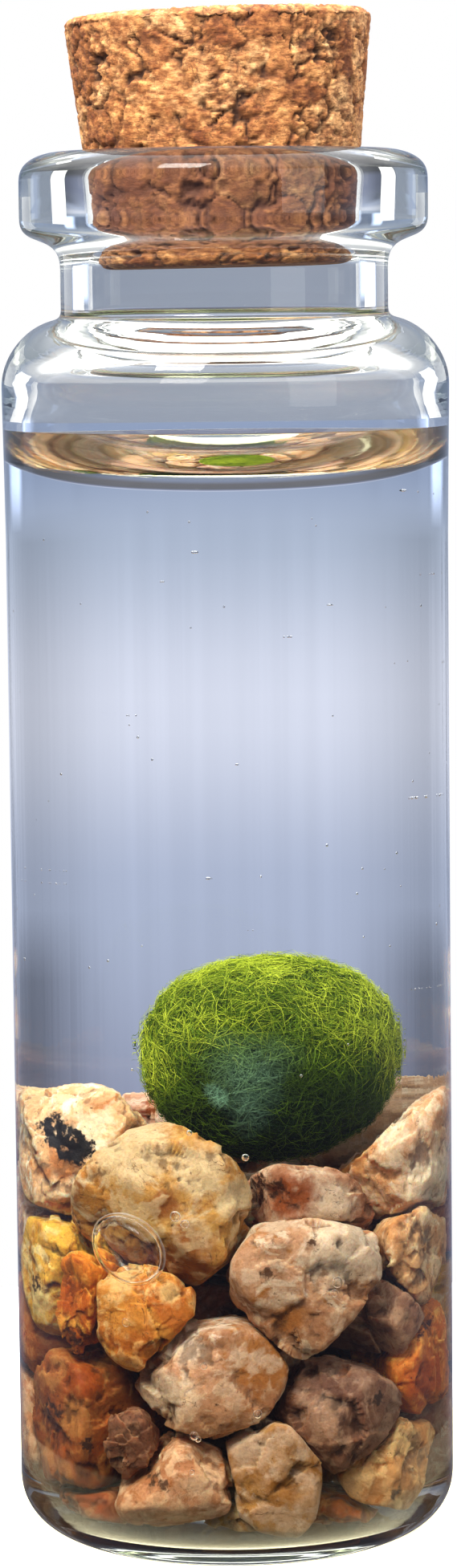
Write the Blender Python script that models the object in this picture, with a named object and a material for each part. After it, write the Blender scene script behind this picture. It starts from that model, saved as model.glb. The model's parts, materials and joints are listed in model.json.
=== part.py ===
"""A marimo moss ball on gravel in a corked glass vial of water.

Metres, +Z up. The origin is the middle of the flat foot, and the front faces -Y.
Every turned piece is a profile of (radius, height) points, spun round the Z axis.
"""

import math
import random

import bmesh
import bpy
from mathutils import Matrix, Vector

MM = 0.001
SEGMENTS = 36

# The glass vial: 22 mm across, 69 mm tall, with a 13.5 mm neck bore.
BODY_RADIUS = 11.0 * MM
WALL = 1.0 * MM
FLOOR = 1.2 * MM
FOOT_ROUND = 2.6 * MM
INNER_ROUND = 2.0 * MM
SHOULDER_START = 57.8 * MM
SHOULDER_RADIUS = 11.1 * MM
SHOULDER_RISE = 3.2 * MM
SHOULDER_POWER = 1.8
STRAIGHT_OUTSIDE = 51.8 * MM
STRAIGHT_INSIDE = 55.8 * MM
NECK_RADIUS = 8.1 * MM
NECK_TOP = 64.0 * MM
NECK_FLARE = 1.1 * MM
BORE_RADIUS = 6.75 * MM
LIP_RADIUS = 10.1 * MM
LIP_BOTTOM = 65.1 * MM
LIP_TOP = 69.2 * MM
LIP_ROUND = 0.8 * MM
LIP_BEVEL = 0.35 * MM
MOUTH_RADIUS = 7.1 * MM

# The cork: a cone frustum that leans a little in the mouth.
CORK_BOTTOM = 63.6 * MM
CORK_TOP = 75.9 * MM
CORK_BOTTOM_RADIUS = 6.3 * MM
CORK_SLOPE = 0.105
CORK_EDGE = 0.35 * MM
CORK_LEAN = math.radians(-1.5)
CORK_PIVOT = 68.0 * MM

# The water: its flat level, the meniscus that climbs the glass, and the places of its rings inwards.
WATER_LEVEL = 52.55 * MM
MENISCUS_RISE, MENISCUS_REACH = 3.05 * MM, 2.2 * MM
MENISCUS_RINGS = (0.0, 0.6, 1.4, 2.6, 4.2, 6.5)

# The moss ball, measured to the tips of its filaments.
BALL_CENTRE = Vector((1.5, -1.2, 24.4)) * MM
BALL_RADIUS = 5.7 * MM
BALL_DENT = 0.12 * MM

# Clearances between neighbours. The water is modelled from the top of the bed upwards. The cuts at the
# round foot lie further back, because a stone's corner between two flat cuts reaches past both of them.
GAP = 0.25 * MM
FOOT_GAP = 0.40 * MM
WATER_CLEARANCE = 0.18 * MM
WATER_FLOOR = 17.0 * MM
CUTTER_MARGIN = 1.0 * MM

# The gravel: centre x, y, z, half width, half depth, half height (millimetres) and colour.
STONES = (
    (-5.9, -1.6, 19.5, 3.8, 3.2, 3.6, "pink"),
    (-3.3, -4.8, 17.5, 4.3, 3.7, 4.4, "gold"),
    (-7.0, -2.8, 13.6, 3.0, 2.9, 3.2, "olive"),
    (-6.6, -5.3, 12.8, 1.8, 1.9, 2.7, "orange"),
    (-4.6, -6.6, 12.6, 2.3, 2.2, 2.8, "amber"),
    (3.1, -3.8, 17.3, 3.0, 2.8, 2.1, "rust"),
    (6.6, -1.0, 19.3, 3.6, 3.8, 3.6, "peach"),
    (3.3, -5.6, 13.8, 3.8, 3.4, 3.6, "rose"),
    (7.6, -2.9, 14.2, 2.3, 2.5, 2.6, "beige"),
    (7.2, -2.6, 9.3, 2.7, 2.9, 3.1, "orange"),
    (5.8, -4.6, 11.5, 3.1, 2.6, 2.5, "grey"),
    (-0.8, -6.0, 9.2, 3.9, 3.2, 3.0, "rose"),
    (-6.1, -3.4, 6.2, 3.2, 3.1, 4.0, "brown"),
    (-4.7, -6.8, 6.0, 1.4, 1.6, 1.8, "grey"),
    (-2.6, -6.4, 4.2, 3.2, 2.8, 2.2, "rose"),
    (1.4, -6.3, 4.8, 2.4, 2.6, 2.7, "pale"),
    (4.3, -5.2, 7.2, 3.7, 3.2, 3.2, "grey"),
    (6.4, -4.2, 4.3, 2.6, 2.6, 2.3, "beige"),
    (-5.7, -3.5, 2.4, 2.4, 2.8, 1.2, "brown"),
    (0.3, -5.1, 2.0, 2.0, 2.2, 0.9, "olive"),
    (3.8, -4.2, 2.1, 2.2, 2.6, 1.0, "orange"),
    (0.4, 0.4, 4.4, 3.5, 3.3, 3.3, "beige"),
    (-0.8, -0.8, 10.2, 3.4, 3.2, 3.3, "rust"),
    (0.8, 0.8, 15.9, 3.6, 3.3, 2.9, "beige"),
    (6.5, 2.4, 4.4, 3.5, 3.4, 3.3, "rose"),
    (2.0, 6.7, 4.6, 3.5, 3.3, 3.4, "gold"),
    (-3.9, 5.6, 4.3, 3.5, 3.3, 3.2, "beige"),
    (-6.9, 0.9, 5.0, 3.2, 3.3, 3.3, "pink"),
    (6.3, 2.9, 10.4, 3.6, 3.5, 3.4, "olive"),
    (1.4, 6.8, 10.6, 3.6, 3.3, 3.3, "rose"),
    (-4.4, 5.3, 10.2, 3.6, 3.4, 3.3, "brown"),
    (-7.0, 0.4, 10.6, 3.1, 3.2, 3.0, "orange"),
    (6.6, 2.6, 16.0, 3.4, 3.6, 3.3, "brown"),
    (1.8, 6.6, 16.4, 3.5, 3.4, 3.3, "pink"),
    (-3.9, 5.5, 15.9, 3.5, 3.4, 3.2, "gold"),
    (-7.2, 1.6, 15.2, 2.9, 3.2, 2.9, "rose"),
    (4.7, 5.5, 19.5, 3.1, 3.0, 2.5, "beige"),
    (-0.8, 6.5, 19.8, 3.0, 2.8, 2.3, "rust"),
    (-5.4, 4.1, 19.1, 2.9, 3.1, 2.6, "peach"),
)
STONE_COLOURS = {
    "pink": (0.58, 0.42, 0.33),
    "gold": (0.62, 0.42, 0.16),
    "olive": (0.45, 0.34, 0.11),
    "amber": (0.60, 0.32, 0.10),
    "orange": (0.58, 0.24, 0.06),
    "rust": (0.36, 0.19, 0.12),
    "peach": (0.66, 0.43, 0.27),
    "rose": (0.60, 0.43, 0.35),
    "beige": (0.52, 0.40, 0.27),
    "grey": (0.27, 0.20, 0.18),
    "brown": (0.34, 0.19, 0.11),
    "pale": (0.66, 0.55, 0.33),
}
STONE_BLOCK = 24 * MM
STONE_EDGE = 0.28 * MM
STONE_ROUGHNESS = 0.6
BEVEL_FROM = math.radians(46)
MERGE, ON_PLANE = 0.02 * MM, 0.0001 * MM
SIDE_CUTS = 7
AXIS_WANDER, SIDE_WANDER = 0.28, 0.25
AXIS_DEPTH, SIDE_DEPTH = (0.94, 1.0), (0.88, 1.06)
WALL_CUTS = 18
FOOT_DIPS = (30, 60)
NEIGHBOUR_SHARE = 0.8

# Room for the largest air bubble, which clings to the glass at the front left: half its width along
# the wall, half its depth from the wall, and half its height.
BUBBLE_CENTRE = Vector((-5.2, -7.85, 16.0)) * MM
BUBBLE_ALONG, BUBBLE_DEEP, BUBBLE_TALL = 1.9 * MM, 0.85 * MM, 1.6 * MM


def clear_scene():
    """Remove whatever the file holds already."""
    for old in list(bpy.data.objects):
        bpy.data.objects.remove(old, do_unlink=True)


def material(name, colour, roughness, transmission=0.0, ior=1.45):
    """A plain finish; a material that exists already is used again."""
    made = bpy.data.materials.get(name) or bpy.data.materials.new(name)
    made.use_nodes = True
    shader = made.node_tree.nodes["Principled BSDF"]
    shader.inputs["Base Color"].default_value = (*colour, 1.0)
    shader.inputs["Roughness"].default_value = roughness
    shader.inputs["Transmission Weight"].default_value = transmission
    shader.inputs["IOR"].default_value = ior
    made.diffuse_color = (*colour, 1.0)
    return made


def place(name, mesh, finish):
    """Put a mesh into the scene as one named object with its material."""
    made = bpy.data.objects.new(name, mesh)
    bpy.context.scene.collection.objects.link(made)
    mesh.materials.clear()
    mesh.materials.append(finish)
    return made


def arc(centre, radius, start, end, steps):
    """Points on a round from one angle to another, in degrees, both ends included."""
    angles = [math.radians(start + (end - start) * i / steps) for i in range(steps + 1)]
    return [(centre[0] + radius * math.cos(a), centre[1] + radius * math.sin(a)) for a in angles]


def turned_mesh(name, profile, smooth_angle=30.0):
    """Spin a profile, which runs from the axis at the bottom round the outside and back to the axis."""
    verts, rings = [], []
    for radius, height in profile:
        if radius < 1e-9:
            rings.append([len(verts)])
            verts.append((0.0, 0.0, height))
            continue
        rings.append(range(len(verts), len(verts) + SEGMENTS))
        for i in range(SEGMENTS):
            turn = 2 * math.pi * i / SEGMENTS
            verts.append((radius * math.cos(turn), radius * math.sin(turn), height))
    faces = []
    for low, high in zip(rings, rings[1:]):
        for i in range(SEGMENTS):
            j = (i + 1) % SEGMENTS
            if len(low) == 1:
                faces.append((low[0], high[j], high[i]))
            elif len(high) == 1:
                faces.append((low[i], low[j], high[0]))
            else:
                faces.append((low[i], low[j], high[j], high[i]))
    mesh = bpy.data.meshes.new(name)
    mesh.from_pydata(verts, [], faces)
    mesh.shade_smooth()
    mesh.set_sharp_from_angle(angle=math.radians(smooth_angle))
    return mesh


def shoulder_curve(inset, steps):
    """The superellipse from the body to the neck, moved inwards by the wall."""
    across = SHOULDER_RADIUS - NECK_RADIUS
    points = []
    for i in range(steps + 1):
        t = 0.5 * math.pi * i / steps
        out = math.cos(t) ** (2 / SHOULDER_POWER)
        up = math.sin(t) ** (2 / SHOULDER_POWER)
        points.append((NECK_RADIUS - inset + across * out, SHOULDER_START + (SHOULDER_RISE - inset) * up))
    return points


def outer_profile():
    """From the middle of the foot up the outside to the top of the lip."""
    foot = BODY_RADIUS - FOOT_ROUND
    lip = LIP_RADIUS - LIP_ROUND
    flare = arc((NECK_RADIUS + NECK_FLARE, NECK_TOP - LIP_BEVEL), NECK_FLARE, 180, 110, 2)
    return (
        [(0.0, 0.0), (foot, 0.0)]
        + arc((foot, FOOT_ROUND), FOOT_ROUND, -60, 0, 3)
        + [(BODY_RADIUS, STRAIGHT_OUTSIDE)]
        + shoulder_curve(0.0, 4)
        + flare
        + [(LIP_RADIUS - LIP_BEVEL, LIP_BOTTOM), (LIP_RADIUS, LIP_BOTTOM + LIP_BEVEL)]
        + arc((lip, LIP_TOP - LIP_ROUND), LIP_ROUND, 0, 90, 2)
    )


def inner_profile():
    """From the mouth down the inside to the middle of the inner floor."""
    inside = BODY_RADIUS - WALL
    bore_inset = NECK_RADIUS - BORE_RADIUS
    corner = arc((inside - INNER_ROUND, FLOOR + INNER_ROUND), INNER_ROUND, 0, -90, 3)
    return (
        [(MOUTH_RADIUS + LIP_BEVEL, LIP_TOP), (MOUTH_RADIUS, LIP_TOP - LIP_BEVEL)]
        + [(BORE_RADIUS, LIP_BOTTOM)]
        + list(reversed(shoulder_curve(bore_inset, 4)))[:-1]
        + [(inside, STRAIGHT_INSIDE)]
        + corner
        + [(0.0, FLOOR)]
    )


def make_vial():
    """The glass, as one shell with its hollow open at the mouth."""
    glass = material("clear_glass", (0.93, 0.96, 0.95), 0.02, transmission=1.0, ior=1.5)
    return place("vial", turned_mesh("vial", outer_profile() + inner_profile()), glass)


def make_cork():
    """The stopper: a turned cone frustum with broken edges, leant about the middle of the mouth."""
    def side(height):
        return CORK_BOTTOM_RADIUS + CORK_SLOPE * (height - CORK_BOTTOM)

    edge = CORK_EDGE
    profile = [
        (0.0, CORK_BOTTOM),
        (side(CORK_BOTTOM) - edge, CORK_BOTTOM),
        (side(CORK_BOTTOM + edge), CORK_BOTTOM + edge),
        (side(CORK_TOP - edge), CORK_TOP - edge),
        (side(CORK_TOP) - edge, CORK_TOP),
        (0.0, CORK_TOP),
    ]
    cork = place("cork", turned_mesh("cork", profile), material("pressed_cork", (0.50, 0.25, 0.10), 0.85))
    pivot = Vector((0, 0, CORK_PIVOT))
    lean = Matrix.Translation(pivot) @ Matrix.Rotation(CORK_LEAN, 4, "Y") @ Matrix.Translation(-pivot)
    cork.data.transform(lean)
    return cork


def make_moss_ball():
    """A ball with shallow dents, where the way from its centre picks the depth."""
    made = bmesh.new()
    bmesh.ops.create_icosphere(made, subdivisions=3, radius=BALL_RADIUS)
    for vert in made.verts:
        way = vert.co.normalized()
        dent = math.sin(5 * way.x + 1) * math.sin(4 * way.y + 2) * math.sin(6 * way.z)
        vert.co -= way * BALL_DENT * abs(dent)
    mesh = bpy.data.meshes.new("moss_ball")
    made.to_mesh(mesh)
    made.free()
    mesh.transform(Matrix.Translation(BALL_CENTRE))
    mesh.shade_smooth()
    return place("moss_ball", mesh, material("marimo_green", (0.10, 0.22, 0.02), 0.9))


def own_cuts(row, seed):
    """The broken faces of one stone: (direction, distance from its centre) pairs."""
    draw = random.Random(seed)
    half = Vector(row[3:6]) * MM
    cuts = []
    for axis in range(3):
        for sign in (-1, 1):
            way = Vector([draw.uniform(-AXIS_WANDER, AXIS_WANDER) for _ in range(3)])
            way[axis] = sign
            way.normalize()
            cuts.append((way, half[axis] * draw.uniform(*AXIS_DEPTH)))
    golden = math.pi * (3 - math.sqrt(5))
    start = draw.uniform(0, 2 * math.pi)
    for i in range(SIDE_CUTS):
        up = 1 - 2 * (i + 0.5) / SIDE_CUTS
        ring = math.sqrt(1 - up * up)
        turn = start + golden * i
        way = Vector((ring * math.cos(turn), ring * math.sin(turn), up))
        way += Vector([draw.uniform(-SIDE_WANDER, SIDE_WANDER) for _ in range(3)])
        way.normalize()
        cuts.append((way, reach_towards(row, way) * draw.uniform(*SIDE_DEPTH)))
    return cuts


def reach_towards(row, way):
    """How far a stone's round form reaches from its centre in one direction."""
    return Vector([row[3 + k] * MM * way[k] for k in range(3)]).length


def bubble_reach(way):
    """How far the room of the large bubble reaches from its centre in one direction."""
    out = Vector((BUBBLE_CENTRE.x, BUBBLE_CENTRE.y, 0)).normalized()
    along = Vector((-out.y, out.x, 0))
    return Vector((way.dot(along) * BUBBLE_ALONG, way.dot(out) * BUBBLE_DEEP, way.z * BUBBLE_TALL)).length


def vessel_cuts(centre):
    """The glass round the bed: the wall, the round at its foot and the floor."""
    inside = BODY_RADIUS - WALL
    round_centre = (inside - INNER_ROUND, FLOOR + INNER_ROUND)
    cuts = [(Vector((0, 0, -1)), centre.z - FLOOR - GAP)]
    for i in range(WALL_CUTS):
        turn = 2 * math.pi * i / WALL_CUTS
        out = Vector((math.cos(turn), math.sin(turn), 0))
        cuts.append((out, inside - GAP - out.dot(centre)))
        for dip in map(math.radians, FOOT_DIPS):
            way = out * math.cos(dip) - Vector((0, 0, math.sin(dip)))
            far = round_centre[0] * math.cos(dip) - round_centre[1] * math.sin(dip) + INNER_ROUND
            cuts.append((way, far - FOOT_GAP - way.dot(centre)))
    return cuts


def neighbour_cuts(index):
    """A plane between this stone and each one beside it, the moss ball and the large bubble."""
    row = STONES[index]
    centre = Vector(row[:3]) * MM
    cuts = []
    for other_index, other in enumerate(STONES):
        if other_index == index:
            continue
        apart = Vector(other[:3]) * MM - centre
        way = apart.normalized()
        own, far = reach_towards(row, way), reach_towards(other, way)
        if own + far + GAP > apart.length * NEIGHBOUR_SHARE:
            cuts.append((way, apart.length * own / (own + far) - GAP / 2))
    to_ball = BALL_CENTRE - centre
    cuts.append((to_ball.normalized(), to_ball.length - BALL_RADIUS - GAP))
    to_bubble = BUBBLE_CENTRE - centre
    way = to_bubble.normalized()
    cuts.append((way, to_bubble.length - bubble_reach(way)))
    return cuts


def cut_block(centre, cuts, grow=0.0):
    """A block about the centre, with everything beyond each cut taken off."""
    made = bmesh.new()
    bmesh.ops.create_cube(made, size=STONE_BLOCK, matrix=Matrix.Translation(centre))
    for way, distance in cuts:
        point = centre + way * (distance + grow)
        every = made.verts[:] + made.edges[:] + made.faces[:]
        cut = bmesh.ops.bisect_plane(
            made, geom=every, dist=ON_PLANE, plane_co=point, plane_no=way, clear_outer=True
        )
        rim = [e for e in cut["geom_cut"] if isinstance(e, bmesh.types.BMEdge)]
        if rim:
            bmesh.ops.contextual_create(made, geom=rim)
    bmesh.ops.remove_doubles(made, verts=made.verts[:], dist=MERGE)
    bmesh.ops.recalc_face_normals(made, faces=made.faces[:])
    return made


def stone_cuts(index):
    """The broken faces of one stone, and the planes that keep it off what lies beside it."""
    return own_cuts(STONES[index], seed=index + 1) + neighbour_cuts(index)


def make_stone(index):
    """One stone in its own node, with its sharpest edges worn."""
    row = STONES[index]
    centre = Vector(row[:3]) * MM
    made = cut_block(centre, stone_cuts(index) + vessel_cuts(centre))
    name = f"stone_{index + 1:02d}"
    mesh = bpy.data.meshes.new(name)
    made.to_mesh(mesh)
    made.free()
    stone = place(name, mesh, material(f"stone_{row[6]}", STONE_COLOURS[row[6]], STONE_ROUGHNESS))
    bevel = stone.modifiers.new("worn_edges", "BEVEL")
    bevel.width = STONE_EDGE
    bevel.segments = 1
    bevel.limit_method = "ANGLE"
    bevel.angle_limit = BEVEL_FROM
    return stone


def meniscus_height(radius, inside):
    """The flat level plus a climb that dies away from the glass."""
    return WATER_LEVEL + MENISCUS_RISE * math.exp((radius - inside) / MENISCUS_REACH)


def hidden_cutter(name, made):
    """A body that is only there to be cut away from the water."""
    mesh = bpy.data.meshes.new(name)
    made.to_mesh(mesh)
    made.free()
    cutter = bpy.data.objects.new(name, mesh)
    bpy.context.scene.collection.objects.link(cutter)
    cutter.hide_render = True
    cutter.display_type = "WIRE"
    return cutter


def water_cutters():
    """The stones that stand in the water and the ball, each a little grown."""
    cutters = []
    for index, row in enumerate(STONES):
        if (row[2] + row[5]) * MM < WATER_FLOOR - CUTTER_MARGIN:
            continue
        made = cut_block(Vector(row[:3]) * MM, stone_cuts(index), grow=WATER_CLEARANCE)
        cutters.append(hidden_cutter(f"cutter_stone_{index + 1:02d}", made))
    ball = bmesh.new()
    bmesh.ops.create_icosphere(
        ball, subdivisions=3, radius=BALL_RADIUS + GAP, matrix=Matrix.Translation(BALL_CENTRE)
    )
    cutters.append(hidden_cutter("cutter_ball", ball))
    return cutters


def keep_largest_body(made):
    """Delete every loose body but the one with the most faces."""
    left = set(made.faces)
    bodies = []
    while left:
        stack = [left.pop()]
        body = set(stack)
        while stack:
            for edge in stack.pop().edges:
                for face in edge.link_faces:
                    if face in left:
                        left.discard(face)
                        body.add(face)
                        stack.append(face)
        bodies.append(body)
    keep = max(bodies, key=len)
    spare = [face for face in made.faces if face not in keep]
    bmesh.ops.delete(made, geom=spare, context="FACES")


def make_water():
    """A turned column with a curved top, with the stones and the ball cut out of its lower end."""
    inside = BODY_RADIUS - WALL - GAP
    radii = [inside - away * MM for away in MENISCUS_RINGS]
    top = [(radius, meniscus_height(radius, inside)) for radius in radii]
    profile = [(0.0, WATER_FLOOR), (inside, WATER_FLOOR)] + top + [(0.0, WATER_LEVEL)]
    clear = material("water", (0.9, 0.95, 1.0), 0.0, transmission=1.0, ior=1.333)
    water = place("water", turned_mesh("water", profile), clear)
    for cutter in water_cutters():
        cut = water.modifiers.new(cutter.name, "BOOLEAN")
        cut.operation = "DIFFERENCE"
        cut.solver = "EXACT"
        cut.object = cutter
    bpy.context.view_layer.update()
    evaluated = water.evaluated_get(bpy.context.evaluated_depsgraph_get())
    made = bmesh.new()
    made.from_mesh(evaluated.to_mesh())
    evaluated.to_mesh_clear()
    water.modifiers.clear()
    keep_largest_body(made)
    made.to_mesh(water.data)
    made.free()
    for old in [o for o in bpy.data.objects if o.name.startswith("cutter_")]:
        bpy.data.objects.remove(old, do_unlink=True)
    return water


def main():
    clear_scene()
    make_vial()
    make_cork()
    make_moss_ball()
    for index in range(len(STONES)):
        make_stone(index)
    make_water()


if __name__ == "__main__":
    main()
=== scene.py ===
"""Looks for the marimo moss ball in its corked vial: glass, water, gravel, moss, cork and air bubbles."""

import json
import math

import bpy
import numpy as np
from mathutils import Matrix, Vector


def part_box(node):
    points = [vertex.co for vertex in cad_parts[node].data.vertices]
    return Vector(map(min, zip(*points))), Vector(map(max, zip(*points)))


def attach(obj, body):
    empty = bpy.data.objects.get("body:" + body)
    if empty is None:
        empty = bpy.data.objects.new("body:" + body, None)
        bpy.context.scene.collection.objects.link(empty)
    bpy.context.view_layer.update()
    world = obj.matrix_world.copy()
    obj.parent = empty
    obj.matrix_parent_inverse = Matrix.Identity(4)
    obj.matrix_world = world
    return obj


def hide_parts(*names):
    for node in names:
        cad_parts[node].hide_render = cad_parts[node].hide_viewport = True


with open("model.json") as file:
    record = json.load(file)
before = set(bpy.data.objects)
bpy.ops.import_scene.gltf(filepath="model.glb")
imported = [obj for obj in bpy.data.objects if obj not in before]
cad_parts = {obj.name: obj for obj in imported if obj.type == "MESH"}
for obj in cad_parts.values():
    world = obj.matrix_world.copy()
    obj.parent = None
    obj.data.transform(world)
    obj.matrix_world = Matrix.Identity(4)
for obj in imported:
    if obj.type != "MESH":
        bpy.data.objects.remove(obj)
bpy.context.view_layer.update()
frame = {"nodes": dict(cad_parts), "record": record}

MM = 0.001

# THE VIAL
# One blown tube of clear glass with a flat foot, a straight body, a round shoulder and a rolled lip.
# It is turned here as one closed shell of a single clear glass, faintly green in its depth.
VIAL_RADIUS = 11.0
VIAL_WALL = 1.0
VIAL_FLOOR = 1.2
FOOT_ROUND, INNER_ROUND = 2.6, 2.0
SHOULDER_START, SHOULDER_RADIUS, SHOULDER_RISE, SHOULDER_POWER = 57.8, 11.1, 3.2, 1.8
NECK_RADIUS, NECK_TOP, BORE_RADIUS = 8.1, 64.0, 6.75
LIP_RADIUS, LIP_BOTTOM, MOUTH_RADIUS = 10.1, 65.1, 7.1
LIP_ROUND_ACROSS, LIP_ROUND_UP = 2.1, 1.2
LIP_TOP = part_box("vial")[1].z / MM
NECK_FLARE, MOUTH_EDGE = 1.1, 0.8
CONTACT = 55.6
GLASS_IOR = 1.5
GLASS_TINT, GLASS_DENSITY = (0.90, 0.97, 0.74), 26.0
DRY_GLOSS, WET_GLOSS = 0.4, 0.03
DRAW_LINES, DRAW_LINE_WIDTH, DRAW_LINE_STRETCH = 0.028, 1.3, 0.012
STRAIGHT_FROM, STRAIGHT_TO = 5, 52
TURNS = 160


def arc(centre, radius, start, end, steps=10):
    """Points on a round: centre plus radius times (cos, sin) of angles from start to end, in degrees. The
    radius may be a pair, across and up."""
    angles = np.radians(np.linspace(start, end, steps + 1))
    return np.array(centre) + np.column_stack([np.cos(angles), np.sin(angles)]) * radius


def shoulder(inset, steps=14):
    """A quarter superellipse from the body up to the neck: radius by cos^(2/n), height by sin^(2/n)."""
    t = np.linspace(0, np.pi / 2, steps + 1)
    out = np.maximum(np.cos(t), 0) ** (2 / SHOULDER_POWER)
    up = np.sin(t) ** (2 / SHOULDER_POWER)
    across = SHOULDER_RADIUS - NECK_RADIUS
    radius = NECK_RADIUS - inset + across * out
    return np.column_stack([radius, SHOULDER_START + (SHOULDER_RISE - inset) * up])


def softened(profile, spacing=0.12, passes=10):
    """The profile in even steps, each point then averaged with its neighbours a few times, so that no
    corner stays sharp, as in fire-polished glass. One point is kept for every 3 degrees or 3 mm of run."""
    profile = np.vstack(profile)
    along = np.concatenate([[0], np.cumsum(np.linalg.norm(np.diff(profile, axis=0), axis=1))])
    keep = np.concatenate([[True], np.diff(along) > 1e-9])
    even = np.linspace(0, along[-1], int(along[-1] / spacing))
    points = np.column_stack([np.interp(even, along[keep], profile[keep, k]) for k in (0, 1)])
    for _ in range(passes):
        points[1:-1] = (points[:-2] + 2 * points[1:-1] + points[2:]) / 4
    way = np.unwrap(np.arctan2(*np.diff(points, axis=0).T[::-1]))
    bend = np.concatenate([[0], np.cumsum(np.abs(np.diff(way))), [0]])
    step = np.floor(bend / math.radians(3)) + np.floor(even / 3.0) * 1000
    chosen = np.concatenate([[True], np.diff(step) != 0])
    chosen[-1] = True
    return points[chosen]


def turned(profile, turns=TURNS):
    """A profile of (radius, height) carried round the Z axis: x = r cos a, y = r sin a. A point on the axis
    is one vertex, closed by a fan. Returns the points and the faces."""
    angle = np.linspace(0, 2 * np.pi, turns, endpoint=False)
    on_axis = profile[:, 0] < 1e-6
    sizes = np.where(on_axis, 1, turns)
    first = np.concatenate([[0], np.cumsum(sizes)[:-1]])
    rings = [
        np.array([[0, 0, z]]) if flat
        else np.column_stack([r * np.cos(angle), r * np.sin(angle), np.full(turns, z)])
        for (r, z), flat in zip(profile, on_axis)
    ]
    i = np.arange(turns)
    j = (i + 1) % turns
    faces, owners = [], []
    for k in range(len(profile) - 1):
        a, b = first[k], first[k + 1]
        if on_axis[k]:
            strip = np.column_stack([np.full(turns, a), b + j, b + i])
        elif on_axis[k + 1]:
            strip = np.column_stack([a + i, a + j, np.full(turns, b)])
        else:
            strip = np.column_stack([a + i, a + j, b + j, b + i])
        faces += strip.tolist()
        owners += [k] * turns
    return np.vstack(rings), faces, np.array(owners)


def put(name, points, faces, finishes, slots=None, smooth=True):
    """A mesh of points in millimetres, placed in metres as one object with its materials."""
    mesh = bpy.data.meshes.new(name)
    mesh.from_pydata((np.asarray(points) * MM).tolist(), [], faces)
    for finish in finishes:
        mesh.materials.append(finish)
    if slots is not None:
        mesh.polygons.foreach_set("material_index", np.asarray(slots, np.int32))
    mesh.polygons.foreach_set("use_smooth", np.full(len(mesh.polygons), smooth))
    mesh.update()
    made = bpy.data.objects.new(name, mesh)
    bpy.context.scene.collection.objects.link(made)
    return made


def store(made, **titles):
    """Numbers kept on a piece's points, one for each point, under the titles that its material reads."""
    for title, values in titles.items():
        attribute = made.data.attributes.new(title, "FLOAT", "POINT")
        attribute.data.foreach_set("value", np.asarray(values, np.float32))


def stored(node, title, part="Fac"):
    """The socket that gives a material what is stored on its piece under a title."""
    made = node("ShaderNodeAttribute")
    made.attribute_name = title
    return made.outputs[part]


def settle(made, settings):
    """Sets a node's inputs by their names."""
    for title, value in settings.items():
        made.inputs[title].default_value = value


def new_finish(name):
    """A new node material, its main shader, and the calls that add a node and join two sockets."""
    finish = bpy.data.materials.new(name)
    finish.use_nodes = True
    tree = finish.node_tree
    return finish, tree.nodes["Principled BSDF"], tree.nodes.new, tree.links.new


def clear_finish(name, ior, passed, gloss=1.0, tint=(1, 1, 1), density=0.0):
    """A clear body: a refracting shader, open to lamps' shadow rays, with its colour in the depth if any."""
    finish, shader, node, link = new_finish(name)
    settle(shader, {"Base Color": (1, 1, 1, 1), "Roughness": 0.0, "Specular Tint": (gloss, gloss, gloss, 1),
                    "IOR": ior, "Transmission Weight": 1.0})
    open_to_lamps = node("ShaderNodeBsdfTransparent")
    settle(open_to_lamps, {"Color": (passed, passed, passed, 1)})
    rays = node("ShaderNodeLightPath")
    mix = node("ShaderNodeMixShader")
    out = finish.node_tree.nodes["Material Output"]
    link(rays.outputs["Is Shadow Ray"], mix.inputs[0])
    link(shader.outputs[0], mix.inputs[1])
    link(open_to_lamps.outputs[0], mix.inputs[2])
    link(mix.outputs[0], out.inputs["Surface"])
    if density:
        depth = node("ShaderNodeVolumeAbsorption")
        settle(depth, {"Color": (*tint, 1), "Density": density})
        link(depth.outputs[0], out.inputs["Volume"])
    return finish


inner_radius = VIAL_RADIUS - VIAL_WALL
outside = softened([
    np.array([[0.0, 0.0]]),
    arc((VIAL_RADIUS - FOOT_ROUND, FOOT_ROUND), FOOT_ROUND, -90, 0),
    np.array([[VIAL_RADIUS, SHOULDER_START - 7]]),
    shoulder(0.0),
    arc((NECK_RADIUS + NECK_FLARE, NECK_TOP - 0.3), NECK_FLARE, 180, 105),
    np.array([[LIP_RADIUS - 0.3, LIP_BOTTOM], [LIP_RADIUS, LIP_BOTTOM + 0.4]]),
    arc((LIP_RADIUS - LIP_ROUND_ACROSS, LIP_TOP - LIP_ROUND_UP), (LIP_ROUND_ACROSS, LIP_ROUND_UP), 0, 90),
    np.array([[MOUTH_RADIUS + MOUTH_EDGE, LIP_TOP]]),
])
inside = softened([
    np.array([[MOUTH_RADIUS + MOUTH_EDGE, LIP_TOP], [MOUTH_RADIUS + 0.3, LIP_TOP]]),
    np.array([[MOUTH_RADIUS, LIP_TOP - 0.4], [BORE_RADIUS, LIP_BOTTOM]]),
    shoulder(NECK_RADIUS - BORE_RADIUS)[::-1],
    np.array([[inner_radius, SHOULDER_START - 1.6]]),
    arc((inner_radius - INNER_ROUND, VIAL_FLOOR + INNER_ROUND), INNER_ROUND, 0, -90),
    np.array([[0.0, VIAL_FLOOR]]),
])
vial_points, vial_faces, _ = turned(np.vstack([outside, inside[1:]]))
clear_glass = clear_finish("clear_glass", GLASS_IOR, 0.97, DRY_GLOSS, GLASS_TINT, GLASS_DENSITY)
vial = put("vial_glass", vial_points, vial_faces, [clear_glass])

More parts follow.
